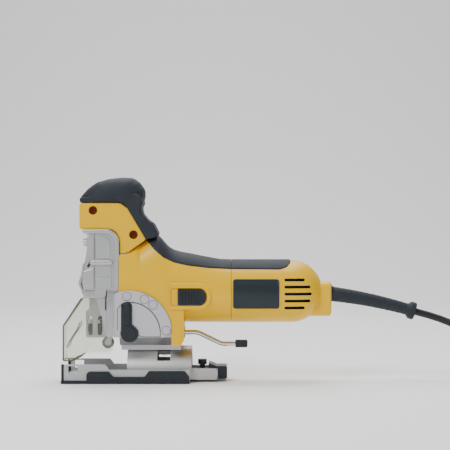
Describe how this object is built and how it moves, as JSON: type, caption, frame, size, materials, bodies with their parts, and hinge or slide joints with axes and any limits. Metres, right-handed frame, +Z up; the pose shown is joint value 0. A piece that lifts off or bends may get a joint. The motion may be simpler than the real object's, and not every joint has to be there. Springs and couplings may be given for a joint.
{
  "type": "jigsaw power tool",
  "caption": "Corded barrel-grip jigsaw with a side slide switch, orbit selector, tool-free blade release, clear dust guard and a bevelling shoe.",
  "frame": {"origin": "middle of the sole's flat underside, on the blade's plane", "axes": "+X to the rear where the cord leaves, +Y to the far side, +Z up"},
  "size_m": [0.5218, 0.1038, 0.2066],
  "materials": {
    "cast_alloy": "cast, fine grain, satin",
    "bright_plate": "smooth satin",
    "hump_alloy": "fine grained, satin",
    "yellow_shell": "moulded, semi-gloss with a fine texture",
    "soft_rubber": "matt soft-grip rubber",
    "black_plastic": "moulded, matt",
    "slate_label": "smooth foil, satin",
    "machined_steel": "machined",
    "chrome_rod": "polished",
    "screw_steel": "dull, reddish",
    "bronze": "sintered, matt",
    "lamination": "stacked sheet, satin",
    "copper_wire": "enamelled copper",
    "brass": "satin",
    "carbon": "graphite, matt",
    "clear_guard": "clear moulded plastic",
    "collar_plastic": "moulded, matt",
    "cord_jacket": "satin rubber jacket"
  },
  "bodies": {
    "housing": {"gear_case": "cast_alloy", "gear_case_front_cover": "cast_alloy", "gear_case_screws": "machined_steel", "orbit_scale_plate": "bright_plate", "front_housing": "yellow_shell", "rear_housing": "yellow_shell", "neck_cover_left": "yellow_shell", "neck_cover_right": "yellow_shell", "neck_screws": "screw_steel", "palm_grip": "soft_rubber", "grip_strip_front": "soft_rubber", "grip_strip_rear": "soft_rubber", "label_plates": "slate_label", "upper_guide_bush": "bronze", "lower_guide_bush": "bronze", "blade_guide_bracket": "machined_steel", "front_bearing": "machined_steel", "rear_bearing": "machined_steel", "pivot_pins": "machined_steel", "stator_core": "lamination", "stator_windings": "copper_wire", "brush_holders": "brass", "carbon_brushes": "carbon", "switch_module": "black_plastic", "bevel_saddle": "bright_plate", "bevel_clamp_plate": "machined_steel", "dust_guard": "clear_guard", "strain_relief": "soft_rubber", "power_cord": "cord_jacket", "power_cord_coil": "cord_jacket", "plug_body": "black_plastic", "plug_pins": "brass"},
    "switch_button": {"slide_switch_button": "black_plastic", "switch_link": "black_plastic"},
    "selector": {"orbit_selector": "black_plastic", "orbit_cam": "black_plastic"},
    "blade_release": {"release_lever": "machined_steel"},
    "armature": {"armature_shaft": "machined_steel", "armature_core": "lamination", "armature_windings": "copper_wire", "commutator": "copper_wire", "cooling_fan": "black_plastic"},
    "gear": {"drive_gear": "machined_steel", "counterweight": "machined_steel", "crank_pin": "machined_steel"},
    "blade_drive": {"plunger": "machined_steel", "scotch_yoke": "machined_steel", "blade_clamp": "machined_steel"},
    "clamp_ring": {"clamp_collar": "collar_plastic"},
    "pendulum": {"pendulum_fork": "machined_steel", "roller_pin": "machined_steel"},
    "roller": {"guide_roller": "machined_steel"},
    "base": {"shoe": "cast_alloy", "sole_cover": "black_plastic", "bevel_cylinder": "hump_alloy", "dust_adapter": "black_plastic", "adapter_knob": "black_plastic"},
    "bevel_lever": {"clamp_lever": "chrome_rod", "clamp_lever_tip": "soft_rubber", "bevel_clamp_bolt": "machined_steel"}
  },
  "joints": [
    {"name": "switch_slide", "type": "slide", "parent": "housing", "child": "switch_button", "axis": [-1, 0, 0], "range_m": [0, 0.007]},
    {"name": "selector_turn", "type": "hinge", "parent": "housing", "child": "selector", "pos_m": [0.004, 0, 0.0503], "axis": [0, 1, 0], "range_deg": [0, 90]},
    {"name": "blade_release_swing", "type": "hinge", "parent": "housing", "child": "blade_release", "pos_m": [-0.04, 0, 0.1186], "axis": [0, 1, 0], "range_deg": [0, 60], "stiffness_Nm_per_rad": 0.02, "springref_deg": -5.73},
    {"name": "armature_spin", "type": "hinge", "parent": "housing", "child": "armature", "pos_m": [0, 0, 0.091], "axis": [1, 0, 0], "continuous": true},
    {"name": "gear_spin", "type": "hinge", "parent": "housing", "child": "gear", "pos_m": [-0.01, 0, 0.11655], "axis": [1, 0, 0], "continuous": true},
    {"name": "plunger_stroke", "type": "slide", "parent": "housing", "child": "blade_drive", "axis": [0, 0, 1], "range_m": [0, 0.024]},
    {"name": "clamp_collar_twist", "type": "hinge", "parent": "blade_drive", "child": "clamp_ring", "pos_m": [-0.031, 0, 0.05], "axis": [0, 0, 1], "range_deg": [0, 30]},
    {"name": "pendulum_swing", "type": "hinge", "parent": "housing", "child": "pendulum", "pos_m": [-0.015, 0, 0.062], "axis": [0, 1, 0], "range_deg": [0, 6]},
    {"name": "guide_roller_spin", "type": "hinge", "parent": "pendulum", "child": "roller", "pos_m": [-0.0196, 0, 0.0386], "axis": [0, 1, 0], "continuous": true},
    {"name": "shoe_bevel", "type": "hinge", "parent": "housing", "child": "base", "pos_m": [0, 0, 0.0075], "axis": [1, 0, 0], "range_deg": [-45, 45]},
    {"name": "bevel_lever_turn", "type": "hinge", "parent": "housing", "child": "bevel_lever", "pos_m": [0.038, 0, 0.049], "axis": [0, 0, 1], "range_deg": [0, 30]}
  ],
  "couplings": [
    {"joint": "gear_spin", "follows": "armature_spin", "ratio": -0.19149},
    {"joint": "clamp_collar_twist", "follows": "blade_release_swing", "ratio": 0.5}
  ]
}
